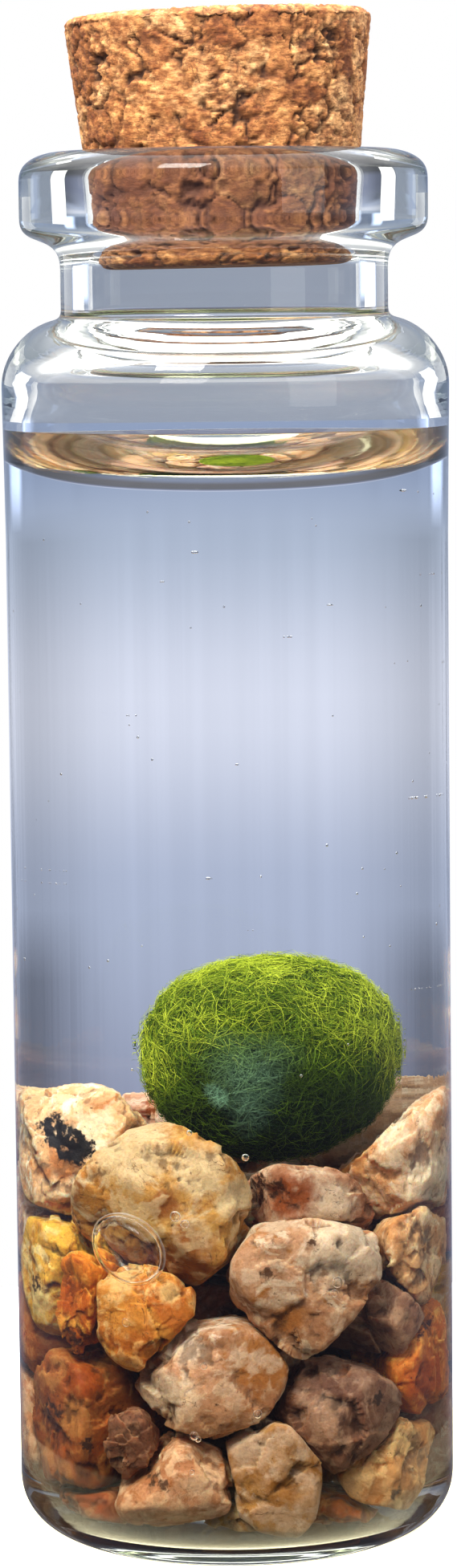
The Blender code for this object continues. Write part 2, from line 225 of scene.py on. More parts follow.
# Against water the inner wall mirrors far less than against air, so its gloss is stored on the surface.
inner_wall = np.hypot(vial_points[:, 0], vial_points[:, 1]) < inner_radius + 0.1
wet = inner_wall & (vial_points[:, 2] > VIAL_FLOOR - 0.1) & (vial_points[:, 2] < CONTACT)
straight = (np.clip((vial_points[:, 2] - STRAIGHT_FROM) / 3, 0, 1)
            * np.clip((STRAIGHT_TO - vial_points[:, 2]) / 4, 0, 1))
store(vial, gloss=np.where(wet, WET_GLOSS, DRY_GLOSS), straight=straight)
tree = clear_glass.node_tree
node, link, shader = tree.nodes.new, tree.links.new, tree.nodes["Principled BSDF"]
link(stored(node, "gloss"), shader.inputs["Specular Tint"])

# The tube was drawn hot, which leaves faint lines along it: a very shallow bump, stretched along the height.
tube = node("ShaderNodeTexCoord")
drawn = node("ShaderNodeMapping")
settle(drawn, {"Scale": (1.0, 1.0, DRAW_LINE_STRETCH)})
lines = node("ShaderNodeTexNoise")
settle(lines, {"Scale": 1 / (DRAW_LINE_WIDTH * MM), "Detail": 2.0})
shallow = node("ShaderNodeBump")
settle(shallow, {"Distance": DRAW_LINES * MM})
link(stored(node, "straight"), shallow.inputs["Strength"])
link(tube.outputs["Object"], drawn.inputs["Vector"])
link(drawn.outputs["Vector"], lines.inputs["Vector"])
link(lines.outputs["Fac"], shallow.inputs["Height"])
link(shallow.outputs["Normal"], shader.inputs["Normal"])
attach(vial, "root")
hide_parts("vial")

# THE WATER
# Clear water fills the vial to just under the shoulder and climbs the glass in a meniscus.
# Its side and floor reach a hair into the glass, so that no film of air lies between the two.
WATER_LEVEL = 52.55
RISE, REACH = 3.05, 2.2
OVERLAP = 0.02
WATER_IOR = 1.333


def meniscus(radius):
    """The flat level plus a climb that falls off as exp(-distance from the glass)."""
    return WATER_LEVEL + RISE * np.exp((radius - inner_radius) / REACH)


held = inside[::-1][inside[::-1, 1] < CONTACT - 0.02]
held_way = np.gradient(held, axis=0)
held_way /= np.linalg.norm(held_way, axis=1)[:, None]
held = held + OVERLAP * np.column_stack([held_way[:, 1], -held_way[:, 0]])
held[0] = (0, VIAL_FLOOR - OVERLAP)
edge = [[inner_radius + OVERLAP, meniscus(inner_radius) - below] for below in (0.02, 0.0)]
top_radius = inner_radius * (1 - np.linspace(0, 1, 60)[1:] ** 1.7)
top = np.column_stack([top_radius, meniscus(top_radius)])
water_points, water_faces, water_rows = turned(np.vstack([held, edge, top]))
open_water = clear_finish("water_surface", WATER_IOR, 1.0)
held_water = clear_finish("water_on_glass", WATER_IOR, 1.0, gloss=0.1)
water_slots = [int(row < len(held) + 1) for row in water_rows]

# The rim of a bubble, seen edge on, is made white instead of clear: a painted highlight standing in for the
# light that gathers there.
bubble_painted_rim = clear_finish("bubble_painted_rim", WATER_IOR, 1.0)
tree = bubble_painted_rim.node_tree
node, link, shader = tree.nodes.new, tree.links.new, tree.nodes["Principled BSDF"]
edge_on = node("ShaderNodeLayerWeight")
settle(edge_on, {"Blend": 0.5})
clear_share = node("ShaderNodeMapRange")
settle(clear_share, {"From Min": 0.62, "To Min": 1.0, "To Max": 0.25})
link(edge_on.outputs["Facing"], clear_share.inputs["Value"])
link(clear_share.outputs["Result"], shader.inputs["Transmission Weight"])


def sphere_grid(rows, columns):
    """Unit directions by latitude and longitude, one vertex at each pole, and the quads between them."""
    lat = np.linspace(-np.pi / 2, np.pi / 2, rows + 1)[1:-1]
    lon = np.linspace(0, 2 * np.pi, columns, endpoint=False)
    la, lo = np.meshgrid(lat, lon, indexing="ij")
    body = np.stack([np.cos(la) * np.cos(lo), np.cos(la) * np.sin(lo), np.sin(la)], axis=-1).reshape(-1, 3)
    ways = np.vstack([[[0, 0, -1]], body, [[0, 0, 1]]])
    i = np.arange(columns)
    j = (i + 1) % columns
    last = len(ways) - 1
    faces = np.column_stack([np.zeros(columns, int), 1 + j, 1 + i]).tolist()
    for k in range(rows - 2):
        a = 1 + k * columns
        faces += np.column_stack([a + i, a + j, a + columns + j, a + columns + i]).tolist()
    a = 1 + (rows - 2) * columns
    faces += np.column_stack([a + i, a + j, np.full(columns, last)]).tolist()
    return ways, faces


def air_bubble(turn, height, across, tall, deep, lean, rows, columns, fullness=2.0, held_by=0.68):
    """A bubble held to the glass at an angle from the front: a round whose depth is (1 - s^n)^(1/n) at the
    share s of its reach, flattened against the wall on its outer side. Its faces point inwards, because it
    is a hollow in the water."""
    ways, faces = sphere_grid(rows, columns)
    out = np.hypot(ways[:, 0], ways[:, 2])
    ways[:, 1] = np.sign(ways[:, 1]) * np.maximum(1 - out ** fullness, 0) ** (1 / fullness)
    c, s = math.cos(lean), math.sin(lean)
    flat = ways * [across, deep, tall]
    flat = np.column_stack([c * flat[:, 0] + s * flat[:, 2], flat[:, 1], c * flat[:, 2] - s * flat[:, 0]])
    away = inner_radius - 0.04
    radius = np.minimum(away - held_by * deep - flat[:, 1], away)
    angle = math.radians(turn) + flat[:, 0] / away
    points = np.column_stack([radius * np.sin(angle), -radius * np.cos(angle), height + flat[:, 2]])
    return points, [face[::-1] for face in faces]


# Rows: angle from the front in degrees, height, half width, half height, half depth, lean.
BUBBLES = (
    (-32.3, 15.85, 2.1, 1.68, 0.86, 0.45), (-16.3, 17.75, 0.27, 0.27, 0.25, 0),
    (-13.6, 17.4, 0.22, 0.22, 0.2, 0), (29.2, 14.2, 0.28, 0.28, 0.25, 0), (28.1, 13.7, 0.2, 0.2, 0.18, 0),
    (-31.3, 12.3, 0.24, 0.24, 0.2, 0), (-8.8, 10.4, 0.18, 0.18, 0.16, 0), (-11.7, 6.9, 0.22, 0.22, 0.2, 0),
    (-10.6, 6.75, 0.16, 0.16, 0.15, 0), (5.8, 8.0, 0.22, 0.22, 0.2, 0), (-12.4, 5.1, 0.14, 0.14, 0.13, 0),
    (-20.9, 3.6, 0.15, 0.15, 0.14, 0), (3.2, 20.7, 0.18, 0.18, 0.16, 0), (-12.0, 21.9, 0.14, 0.14, 0.13, 0),
)
SPECK_COUNT = 110
LARGE_SHAPE = {"rows": 60, "columns": 90, "fullness": 3.0, "held_by": 0.88}
SMALL_SHAPE, SPECK_SHAPE = {"rows": 12, "columns": 20}, {"rows": 6, "columns": 8}
drops = np.random.default_rng(21)
SPECKS = [(a, z, r, r, 0.9 * r, 0) for a, z, r in zip(
    drops.uniform(-180, 180, SPECK_COUNT), drops.uniform(24, 54, SPECK_COUNT),
    drops.uniform(0.035, 0.075, SPECK_COUNT))]
for number, bubble in enumerate(BUBBLES + tuple(SPECKS)):
    shape = LARGE_SHAPE if number == 0 else SMALL_SHAPE if number < len(BUBBLES) else SPECK_SHAPE
    points, faces = air_bubble(*bubble, **shape)
    shift = len(water_points)
    water_points = np.vstack([water_points, points])
    water_faces += [[corner + shift for corner in face] for face in faces]
    water_slots += [2] * len(faces)
water = put("water_body", water_points, water_faces, [open_water, held_water, bubble_painted_rim], water_slots)
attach(water, "root")
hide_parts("water")

# THE GRAVEL
# Broken quartz and feldspar pebbles, 4 to 9 mm across, tumbled until their edges wore a little.
# Each is worked out from its solid's own flat faces, with small chips and grain added.


def cell_random(cell, salt):
    """A random value from 0 to 1 that belongs to a cell of the grid, made by mixing its three whole numbers
    with large primes and keeping 32 bits."""
    x, y, z = cell.T
    mixed = (x * 73856093 ^ y * 19349663 ^ z * 83492791 ^ salt * 2654435761) & 0xFFFFFFFF
    mixed = ((mixed ^ mixed >> 15) * 2246822519) & 0xFFFFFFFF
    mixed = ((mixed ^ mixed >> 13) * 3266489917) & 0xFFFFFFFF
    return (mixed ^ mixed >> 16) / 0xFFFFFFFF


def lattice_noise(points, size, salt):
    """Smooth random values from 0 to 1: random numbers on a grid of this size, blended between corners."""
    scaled = points / size
    cell = np.floor(scaled).astype(np.int64)
    part = scaled - cell
    part = part * part * (3 - 2 * part)
    total = np.zeros(len(points))
    for corner in range(8):
        shift = np.array([corner & 1, corner >> 1 & 1, corner >> 2 & 1])
        weight = np.where(shift, part, 1 - part).prod(axis=1)
        total += cell_random(cell + shift, salt) * weight
    return total


def layered_noise(points, size, salt, layers=3):
    """Lattice noise at a size, half of it, a quarter and so on, each layer half as strong."""
    total, strength = np.zeros(len(points)), 0.0
    for layer in range(layers):
        total += lattice_noise(points, size / 2 ** layer, salt + layer) / 2 ** layer
        strength += 1 / 2 ** layer
    return total / strength


def wander(points, size, salt, layers):
    """A small step for each point, which changes smoothly from place to place: one noise for each axis."""
    return np.column_stack([layered_noise(points, size, salt + k, layers) - 0.5 for k in range(3)])


def node_facets(name):
    """The centre of a CAD stone and its flat faces as (direction, distance from the centre)."""
    mesh = frame["nodes"][name].data
    mesh.calc_loop_triangles()
    points = np.empty(len(mesh.vertices) * 3)
    mesh.vertices.foreach_get("co", points)
    corners = np.empty(len(mesh.loop_triangles) * 3, int)
    mesh.loop_triangles.foreach_get("vertices", corners)
    points = points.reshape(-1, 3) / MM
    triangles = points[corners.reshape(-1, 3)]
    centre = (points.min(0) + points.max(0)) / 2
    normal = np.cross(triangles[:, 1] - triangles[:, 0], triangles[:, 2] - triangles[:, 0])
    area = np.linalg.norm(normal, axis=1)
    normal = normal[area > 1e-4] / area[area > 1e-4, None]
    reach = ((triangles[area > 1e-4, 0] - centre) * normal).sum(1)
    _, once = np.unique(np.round(np.column_stack([normal * 12, reach * 8])), axis=0, return_index=True)
    return centre, normal[once], reach[once]


def rounded_reach(ways, normal, reach, sharpness):
    """How far a body with these flat faces reaches: the faces' own reaches joined by a power mean, which
    rounds the edges between them."""
    pull = np.maximum(ways @ normal.T, 0) / reach
    return (pull ** sharpness).sum(axis=1) ** (-1 / sharpness)


def seeds_around(points, size, salt):
    """A grid of this size has one random seed in each cell. For each of the 27 cells round the points: the
    points in grid steps, the cells' corners, and the seeds' places in their cells."""
    scaled = points / size
    cell = np.floor(scaled).astype(np.int64)
    for shift in np.ndindex(3, 3, 3):
        at = cell + np.array(shift) - 1
        yield scaled, at, np.column_stack([cell_random(at, salt + k) for k in range(3)])


def broken_patches(points, size, salt):
    """Flat patches that meet at ridges: round each seed lies a plane of its own random height and slope."""
    best = np.full(len(points), 9.0)
    value = np.zeros(len(points))
    for scaled, at, seed in seeds_around(points, size, salt):
        rest = scaled - at - seed
        away = np.linalg.norm(rest, axis=1)
        own = (rest * (seed[:, [1, 2, 0]] - 0.5)).sum(axis=1) * 1.6 + (seed[:, 0] - 0.5) * 0.7
        value = np.where(away < best, own, value)
        best = np.minimum(away, best)
    return value


STONE_CHIPS, CHIP_DEPTH = 60, (0.02, 0.36)
BLOCK_SHARPNESS, STONE_SHARPNESS = 60, 80
STANDS_OUT = 0.14


def broken_stone(name, seed, rows, columns):
    """The solid's flat faces, then chips: planes square to random directions, set a little below the
    furthest point that way, so that they take corners and edges. Then flat patches at two sizes and
    layered noise move the surface in and out along each direction from the centre."""
    draw = np.random.default_rng(seed)
    centre, normal, reach = node_facets(name)
    ways, faces = sphere_grid(rows, columns)
    first = ways * rounded_reach(ways, normal, reach, BLOCK_SHARPNESS)[:, None]
    spots = draw.normal(size=(STONE_CHIPS, 3))
    spots /= np.linalg.norm(spots, axis=1)[:, None]
    furthest = (first @ spots.T).max(axis=0)
    chip_reach = furthest - draw.uniform(*CHIP_DEPTH, STONE_CHIPS) * np.minimum(furthest / 3, 1)
    every_reach = np.concatenate([reach, chip_reach])
    whole = rounded_reach(ways, np.vstack([normal, spots]), every_reach, STONE_SHARPNESS)
    points = centre + ways * whole[:, None]
    bent = points + 0.5 * wander(points, 1.1, seed + 60, 2)
    lumps = layered_noise(points, 2.8, seed, 2) - 0.5
    large = broken_patches(bent, 2.1, seed + 20)
    small = broken_patches(bent, 0.8, seed + 30)
    fine = layered_noise(points, 0.3, seed + 90, 2) - 0.5
    moved = 0.90 * lumps + 0.55 * large + 0.15 * small + 0.07 * fine
    moved = np.where(moved > 0, STANDS_OUT * np.tanh(moved / STANDS_OUT), moved)
    points = centre + ways * (whole + moved)[:, None]
    relief = np.clip(0.5 + 0.5 * lumps + 0.35 * large + 0.35 * small + 0.5 * fine, 0, 1)
    return points, faces, relief


def worked_out(node, link, operation, *values):
    """The result of a sum on sockets and plain numbers."""
    made = node("ShaderNodeMath")
    made.operation = operation
    for socket, value in zip(made.inputs, values):
        if isinstance(value, float):
            socket.default_value = value
        else:
            link(value, socket)
    return made.outputs[0]


def brushes(name):
    """A new material with its main shader, the calls that add and link nodes, the place on the piece, and
    the makers of noise, shares from 0 to 1, blends, values with noise added, cracks and bumps."""
    finish, shader, node, link = new_finish(name)
    place = node("ShaderNodeTexCoord").outputs["Object"]

    def noise(size, detail=4.0, distortion=0.0, kind="FBM", rough=0.62, at=place):
        made = node("ShaderNodeTexNoise")
        made.noise_type = kind
        settle(made, {"Scale": 1 / (size * MM), "Detail": detail, "Roughness": rough,
                      "Distortion": distortion})
        link(at, made.inputs["Vector"])
        return made.outputs["Fac"]

    def share(value, low, high, curve="SMOOTHSTEP", top=1.0):
        made = node("ShaderNodeMapRange")
        made.interpolation_type = curve
        settle(made, {"From Min": low, "From Max": high, "To Max": top})
        link(value, made.inputs["Value"])
        return made.outputs["Result"]

    def blend(factor, under, over, way="MIX"):
        made = node("ShaderNodeMix")
        made.data_type, made.blend_type = "RGBA", way
        if isinstance(factor, float):
            made.inputs["Factor"].default_value = factor
        else:
            link(factor, made.inputs["Factor"])
        for socket, colour in ((made.inputs[6], under), (made.inputs[7], over)):
            if isinstance(colour, tuple):
                socket.default_value = (*colour, 1)
            else:
                link(colour, socket)
        return made.outputs[2]

    def with_noise(value, texture, strength):
        return worked_out(node, link, "MULTIPLY_ADD", texture, strength, value)

    def crack(size, width, distortion=1.2, rough=0.62, at=place, curve="SMOOTHSTEP", top=1.0):
        fibre = noise(size, 5.0, distortion, rough=rough, at=at)
        away = worked_out(node, link, "ABSOLUTE", worked_out(node, link, "SUBTRACT", fibre, 0.5))
        return share(away, width, 0.0, curve, top)

    def roughen(height, strength, distance):
        made = node("ShaderNodeBump")
        settle(made, {"Strength": strength, "Distance": distance * MM})
        link(height, made.inputs["Height"])
        link(made.outputs["Normal"], shader.inputs["Normal"])

    return finish, shader, node, link, place, (noise, share, blend, with_noise, crack, roughen)


def stone_finish(name, main, second, pale, rust, dirt):
    """Cloudy quartz that lets a little light in: colours that drift into each other, milky clouds, rust
    stains, hair cracks, specks of dirt, marks given one by one, and painted shade, brown, that deepens down
    the bed."""
    finish, shader, node, link, place, makers = brushes(name)
    noise, share, blend, with_noise, crack, roughen = makers
    height = node("ShaderNodeSeparateXYZ")
    link(place, height.inputs[0])
    colour = blend(share(noise(3.2, 5.0, 0.9), 0.42, 0.60), main, second)
    colour = blend(share(noise(1.9, 6.0, 1.4), 0.50, 0.62), colour, pale)
    colour = blend(share(noise(1.3, 8.0, 1.0), 0.54, 0.70), colour, rust)
    colour = blend(share(with_noise(stored(node, "pale"), noise(0.8, 7.0), 1.6), 1.05, 1.70), colour, pale)
    colour = blend(share(with_noise(stored(node, "rust"), noise(0.8, 7.0), 1.6), 1.05, 1.80), colour, rust)
    relief = with_noise(stored(node, "relief"), noise(0.4, 5.0), 0.5)
    colour = blend(share(relief, 0.80, 1.10), colour, blend(0.6, colour, pale))
    colour = blend(share(relief, 0.66, 0.40), colour, blend(0.6, colour, dirt))
    few_cracks = blend(share(noise(2.4, 2.0), 0.52, 0.62), colour, blend(0.75, colour, dirt))
    colour = blend(crack(3.6, 0.007), colour, few_cracks)
    grain = blend(share(noise(0.14, 5.0), 0.30, 0.60), (0.45, 0.36, 0.30), (1.0, 1.0, 1.0))
    colour = blend(0.34, colour, grain, "MULTIPLY")
    colour = blend(share(noise(0.34, 6.0), 0.62, 0.76), colour, dirt)
    crystals = node("ShaderNodeTexVoronoi")
    settle(crystals, {"Scale": 1 / (0.42 * MM), "Randomness": 1.0})
    link(place, crystals.inputs["Vector"])
    one_part = node("ShaderNodeSeparateColor")
    link(crystals.outputs["Color"], one_part.inputs[0])
    crystal_tone = blend(one_part.outputs[0], (0.80, 0.78, 0.75), (1.12, 1.12, 1.14))
    colour = blend(0.7, colour, crystal_tone, "MULTIPLY")
    # Painted shade: the lower a point is on the bed, the darker and browner its colour, fully so near the
    # bottom.
    silted = share(height.outputs["Z"], DEPTH_SHADE_TOP * MM, DEPTH_SHADE_FULL * MM)
    colour = blend(silted, colour, blend(1.0, colour, DEPTH_SHADE, "MULTIPLY"))
    colour = blend(1.0, colour, stored(node, "lift", "Color"), "MULTIPLY")
    colour = blend(share(with_noise(stored(node, "stain"), noise(0.42, 8.0), 4.0), 2.65, 3.25), colour, dirt)
    black = share(with_noise(stored(node, "dark"), noise(0.5, 8.0), 2.6), 1.85, 2.15)
    colour = blend(black, colour, (0.012, 0.010, 0.009))
    link(colour, shader.inputs["Base Color"])
    link(share(noise(0.5, 3.0), -0.6, 1.6), shader.inputs["Roughness"])
    settle(shader, {"IOR": 1.15, "Subsurface Weight": 0.8, "Subsurface Radius": (1.0, 0.5, 0.22),
                    "Subsurface Scale": 0.8 * MM})
    roughen(with_noise(noise(0.22, 6.0), noise(0.7, 4.0, kind="RIDGED_MULTIFRACTAL"), 0.3), 0.8, 0.09)
    return finish


# Painted shade down the bed: its colour, the height where it starts and the height where it is full, in mm.
DEPTH_SHADE, DEPTH_SHADE_TOP, DEPTH_SHADE_FULL = (0.70, 0.52, 0.36), 17.5, 5.0
# Each tone's main and second colour, its pale clouds, its rust and its dirt.
STONE_TONES = {
    "pink": ((0.80, 0.52, 0.31), (0.70, 0.39, 0.19), (0.92, 0.77, 0.58),
             (0.52, 0.21, 0.07), (0.10, 0.045, 0.02)),
    "gold": ((0.74, 0.43, 0.12), (0.62, 0.28, 0.05), (0.88, 0.70, 0.42),
             (0.42, 0.15, 0.03), (0.13, 0.05, 0.012)),
    "olive": ((0.80, 0.50, 0.09), (0.62, 0.32, 0.04), (0.86, 0.72, 0.44),
              (0.38, 0.16, 0.03), (0.07, 0.036, 0.01)),
    "amber": ((0.78, 0.36, 0.06), (0.62, 0.21, 0.03), (0.90, 0.62, 0.26),
              (0.46, 0.12, 0.02), (0.12, 0.04, 0.01)),
    "orange": ((0.62, 0.24, 0.05), (0.52, 0.16, 0.03), (0.78, 0.42, 0.15),
               (0.42, 0.11, 0.02), (0.09, 0.026, 0.008)),
    "rust": ((0.64, 0.37, 0.24), (0.46, 0.21, 0.11), (0.80, 0.62, 0.47),
             (0.32, 0.09, 0.025), (0.05, 0.02, 0.01)),
    "peach": ((0.82, 0.50, 0.27), (0.72, 0.36, 0.15), (0.90, 0.70, 0.47),
              (0.52, 0.20, 0.05), (0.20, 0.08, 0.03)),
    "rose": ((0.66, 0.41, 0.25), (0.48, 0.26, 0.14), (0.86, 0.74, 0.58),
             (0.46, 0.20, 0.05), (0.10, 0.045, 0.02)),
    "beige": ((0.64, 0.40, 0.20), (0.50, 0.27, 0.11), (0.80, 0.64, 0.42),
              (0.40, 0.17, 0.04), (0.11, 0.05, 0.02)),
    "grey": ((0.31, 0.19, 0.14), (0.21, 0.115, 0.085), (0.46, 0.34, 0.27),
             (0.28, 0.11, 0.04), (0.04, 0.02, 0.012)),
    "brown": ((0.42, 0.155, 0.05), (0.27, 0.085, 0.028), (0.52, 0.28, 0.14),
              (0.42, 0.11, 0.02), (0.05, 0.018, 0.007)),
    "pale": ((0.72, 0.52, 0.28), (0.64, 0.38, 0.10), (0.86, 0.74, 0.52),
             (0.50, 0.26, 0.05), (0.12, 0.06, 0.02)),
}
# Rows: stone, the mark's middle from the front as x and z, and its size.
MARKS = {
    "dark": ((1, -7.7, 20.9, 0.75), (1, -6.9, 20.3, 0.8)),
    "stain": ((2, -7.3, 16.8, 0.4), (3, -9.6, 13.2, 0.6), (4, -7.6, 10.8, 0.7), (6, 1.4, 18.5, 0.8),
              (6, 0.6, 19.0, 0.5), (8, 3.6, 16.2, 0.3), (8, 1.6, 14.7, 0.4), (10, 8.4, 10.8, 0.4),
              (13, -8.4, 7.1, 0.5), (13, -6.8, 5.7, 0.4), (15, -3.7, 4.5, 0.4), (17, 6.7, 8.1, 0.4),
              (18, 7.3, 3.0, 0.3)),
    "pale": ((2, -4.8, 21.0, 1.6), (2, -1.5, 19.8, 1.0), (2, 0.2, 18.3, 0.8), (3, -9.2, 12.3, 0.7),
             (5, -5.3, 14.2, 0.5), (5, -3.0, 13.8, 0.4), (6, 4.2, 17.8, 0.8), (7, 9.0, 18.2, 1.2),
             (7, 6.6, 21.3, 0.8), (8, 5.2, 15.8, 1.4), (12, -2.5, 11.3, 0.8), (12, -3.2, 8.6, 1.0),
             (15, -1.6, 4.4, 0.6), (16, 0.4, 6.2, 0.8), (17, 3.9, 7.7, 0.6), (18, 7.7, 5.5, 0.6)),
    "rust": ((1, -8.5, 18.9, 0.3), (1, -7.5, 19.5, 0.7), (2, -2.0, 15.6, 1.1), (2, -3.3, 18.2, 0.6),
             (4, -8.1, 13.0, 0.8), (6, 2.5, 18.2, 0.9), (7, 4.5, 19.2, 0.7), (8, 2.5, 12.6, 0.7),
             (10, 8.9, 8.3, 1.0), (12, 1.4, 10.2, 1.3), (13, -7.0, 8.8, 0.8), (16, 1.9, 3.8, 0.7)),
}
# What a stone's colours are multiplied by, where it is lighter or darker than others of its tone.
STONE_LIFT = {
    1: (1.25, 1.28, 1.20), 2: (0.76, 0.70, 0.62), 3: (1.10, 1.00, 0.66), 4: (1.20, 0.98, 0.42),
    5: (0.90, 0.84, 0.78), 6: (0.78, 0.74, 0.66), 8: (0.80, 0.72, 0.64), 9: (1.15, 1.05, 0.95),
    10: (1.50, 1.40, 0.90), 11: (1.15, 1.00, 0.80), 13: (1.00, 0.94, 0.55), 14: (0.90, 0.80, 0.70),
    15: (1.20, 1.17, 1.20), 16: (0.88, 0.92, 1.15), 18: (1.60, 1.65, 1.50),
}
stone_finishes = {
    f"stone_{tone}": stone_finish(f"stone_{tone}", *shades) for tone, shades in STONE_TONES.items()
}
slot_of = {row["node"]: row["material_slot"] for row in frame["record"]["subparts"]}
FRONT_STONES, SEEN_BEHIND = 21, (33, 37, 38, 39)
FRONT_GRID, SEEN_GRID, HIDDEN_GRID = (96, 150), (72, 110), (44, 72)
for name in sorted(node for node in frame["nodes"] if node.startswith("stone_")):
    number = int(name.split("_")[1])
    grid = FRONT_GRID if number <= FRONT_STONES else SEEN_GRID if number in SEEN_BEHIND else HIDDEN_GRID
    points, faces, relief = broken_stone(name, number, *grid)
    stone = put(f"{name}_surface", points, faces, [stone_finishes[slot_of[name]]])
    marks = {title: np.zeros(len(points)) for title in MARKS}
    front = points[:, 1] < np.median(points[:, 1])
    for title, rows in MARKS.items():
        for x, z, size in (row[1:] for row in rows if row[0] == number):
            away = np.hypot(points[:, 0] - x, points[:, 2] - z) / size
            marks[title] = np.maximum(marks[title], np.clip(1.5 - 0.75 * away, 0, 1) * front)
    store(stone, relief=relief, **marks)
    lift = np.array([*STONE_LIFT.get(number, (1, 1, 1)), 1], np.float32)
    attribute = stone.data.attributes.new("lift", "FLOAT_COLOR", "POINT")
    attribute.data.foreach_set("color", np.tile(lift, len(points)))
    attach(stone, "root")
    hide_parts(name)

# THE MOSS BALL
# A ball of green filaments that grew matted round each other. A matted heart, coloured near black as
# painted shade, carries tens of thousands of fine curved threads, each a tapering three-sided tube.
BALL_LOW, BALL_HIGH = (np.array(corner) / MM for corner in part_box("moss_ball"))
BALL_CENTRE = (BALL_LOW + BALL_HIGH) / 2
BALL_RADIUS = (BALL_HIGH - BALL_LOW).min() / 2 * 0.985
BALL_LIMIT = 0.998
THREAD_PIECES, THREADS_EACH, THREAD_POINTS = 4, 7600, 5
# Rows: share of the threads, then from and to: length, root, tip, half width and tone. The deeper kinds
# have darker tones, as painted shade.
THREAD_KINDS = (
    (0.26, (1.2, 3.0), (0.83, 0.88), (0.87, 0.92), (0.024, 0.034), (0.00, 0.16)),
    (0.28, (1.2, 2.8), (0.86, 0.91), (0.91, 0.95), (0.020, 0.030), (0.06, 0.60)),
    (0.31, (0.5, 1.6), (0.88, 0.93), (0.93, 0.97), (0.015, 0.025), (0.25, 1.00)),
    (0.15, (0.4, 1.3), (0.90, 0.94), (0.97, 1.000), (0.010, 0.016), (0.55, 1.20)),
)
# On the front: the first three patches are a painted reflection, the last two pale wisps of moss.
# Rows: the patch's middle from the ball's as x and z, half width, half height, strength.
REFLECTION_AND_WISP_PATCHES = (
    (-0.7, 0.6, 2.0, 1.2, 0.22), (-0.8, -0.8, 1.4, 1.3, 0.30), (-0.8, -2.2, 0.8, 1.0, 0.36),
    (-2.2, -1.3, 0.34, 0.36, 1.0), (-2.45, -0.85, 0.28, 0.28, 1.0),
)


def ball_outline(ways):
    """How far the ball reaches in each direction, as a share of its radius: a squared-off round above its
    middle, from the sum of the sideways and the upward part to the power 2.2, and shallow hollows."""
    sideways, upward = np.hypot(ways[:, 0], ways[:, 1]), np.maximum(ways[:, 2], 0)
    squared = (sideways ** 2.2 + upward ** 2.2) ** (-1 / 2.2)
    whole = np.where(ways[:, 2] > 0, squared, 1)
    at = ways * BALL_RADIUS
    return whole * (1 - 0.035 * layered_noise(at, 3.2, 5, 2) - 0.045 * layered_noise(at, 0.9, 15, 2))


def thread_tubes(draw, count):
    """Threads as arcs on the ball. Each starts at a random place, runs along the surface while turning
    sideways, and rises from its root's depth to its tip's. Three corners round each of its points make
    the tube, and it narrows to the tip."""
    s = np.linspace(0, 1, THREAD_POINTS)[None, :, None]
    kind = draw.choice(len(THREAD_KINDS), count, p=[row[0] for row in THREAD_KINDS])
    spans = np.array([row[1:] for row in THREAD_KINDS])[kind]
    low, high = spans[..., 0], spans[..., 1]
    length, root, tip, width, tone = (low + (high - low) * draw.random((count, 5))).T[:, :, None, None]
    start = draw.normal(size=(count, 3))
    start /= np.linalg.norm(start, axis=1)[:, None]
    along = np.cross(start, draw.normal(size=(count, 3)))
    along /= np.linalg.norm(along, axis=1)[:, None]
    across = np.cross(start, along)
    turn = length * s / BALL_RADIUS
    sideways = draw.normal(0, 0.9, (count, 1, 1)) * s ** 2 * length / BALL_RADIUS
    ways = start[:, None] * np.cos(turn) + along[:, None] * np.sin(turn) + across[:, None] * sideways
    ways /= np.linalg.norm(ways, axis=2)[..., None]
    reach = np.minimum(root + (tip - root) * s ** 0.8, BALL_LIMIT)
    outline = ball_outline(ways.reshape(-1, 3)).reshape(count, -1, 1)
    path = BALL_CENTRE + BALL_RADIUS * np.minimum(reach * outline * ways, BALL_LIMIT)
    run = np.gradient(path, axis=1)
    run /= np.linalg.norm(run, axis=2)[..., None]
    first = np.cross(run, ways)
    first /= np.linalg.norm(first, axis=2)[..., None]
    second = np.cross(run, first)
    width = width * (1 - 0.6 * s)
    corners = np.array([0, 2 * np.pi / 3, 4 * np.pi / 3])[None, None, :, None]
    ring = path[:, :, None] + width[..., None] * (
        np.cos(corners) * first[:, :, None] + np.sin(corners) * second[:, :, None]
    )
    # Painted light and shade: threads are brighter on the ball's top and sides and darker underneath, and the
    # outermost kind is kept from going fully dark.
    light = np.clip((ways[..., 2] + 0.72 * ways[..., 0] ** 2 + 0.35) / 1.2, 0, 1) ** 1.3
    light = np.maximum(light, 0.24 * (kind[:, None] == len(THREAD_KINDS) - 1))
    tuft = 0.35 + 1.5 * np.clip((layered_noise(start * BALL_RADIUS, 0.9, 25, 2) - 0.28) / 0.45, 0, 1)
    at = (path - BALL_CENTRE).reshape(-1, 3)
    at = at + 0.9 * wander(at, 1.0, 71, 2)
    silt = sum(
        strength * np.clip(1.6 - 1.2 * np.hypot((at[:, 0] - x) / wide, (at[:, 2] - z) / tall), 0, 1)
        * (at[:, 1] < 0)
        for x, z, wide, tall, strength in REFLECTION_AND_WISP_PATCHES
    )
    shade = (tone[..., 0] + 0.25 * s[..., 0] - 0.1) * light * tuft[:, None]
    return ring, np.clip(shade, 0, 1).ravel(), np.clip(silt, 0, 1)


def thread_mesh(ring):
    """Quads round each tube between its points, and a triangle on each end."""
    count, steps = ring.shape[:2]
    base = (np.arange(count) * steps * 3)[:, None, None] + (np.arange(steps - 1) * 3)[None, :, None]
    k = np.arange(3)[None, None, :]
    n = (k + 1) % 3
    quads = np.stack([base + k, base + n, base + 3 + n, base + 3 + k], axis=-1).reshape(-1, 4)
    low = np.arange(count)[:, None] * steps * 3
    ends = np.vstack([low + np.array([[2, 1, 0]]), low + (steps - 1) * 3 + np.array([[0, 1, 2]])])
    return ring.reshape(-1, 3), quads.tolist() + ends.tolist()


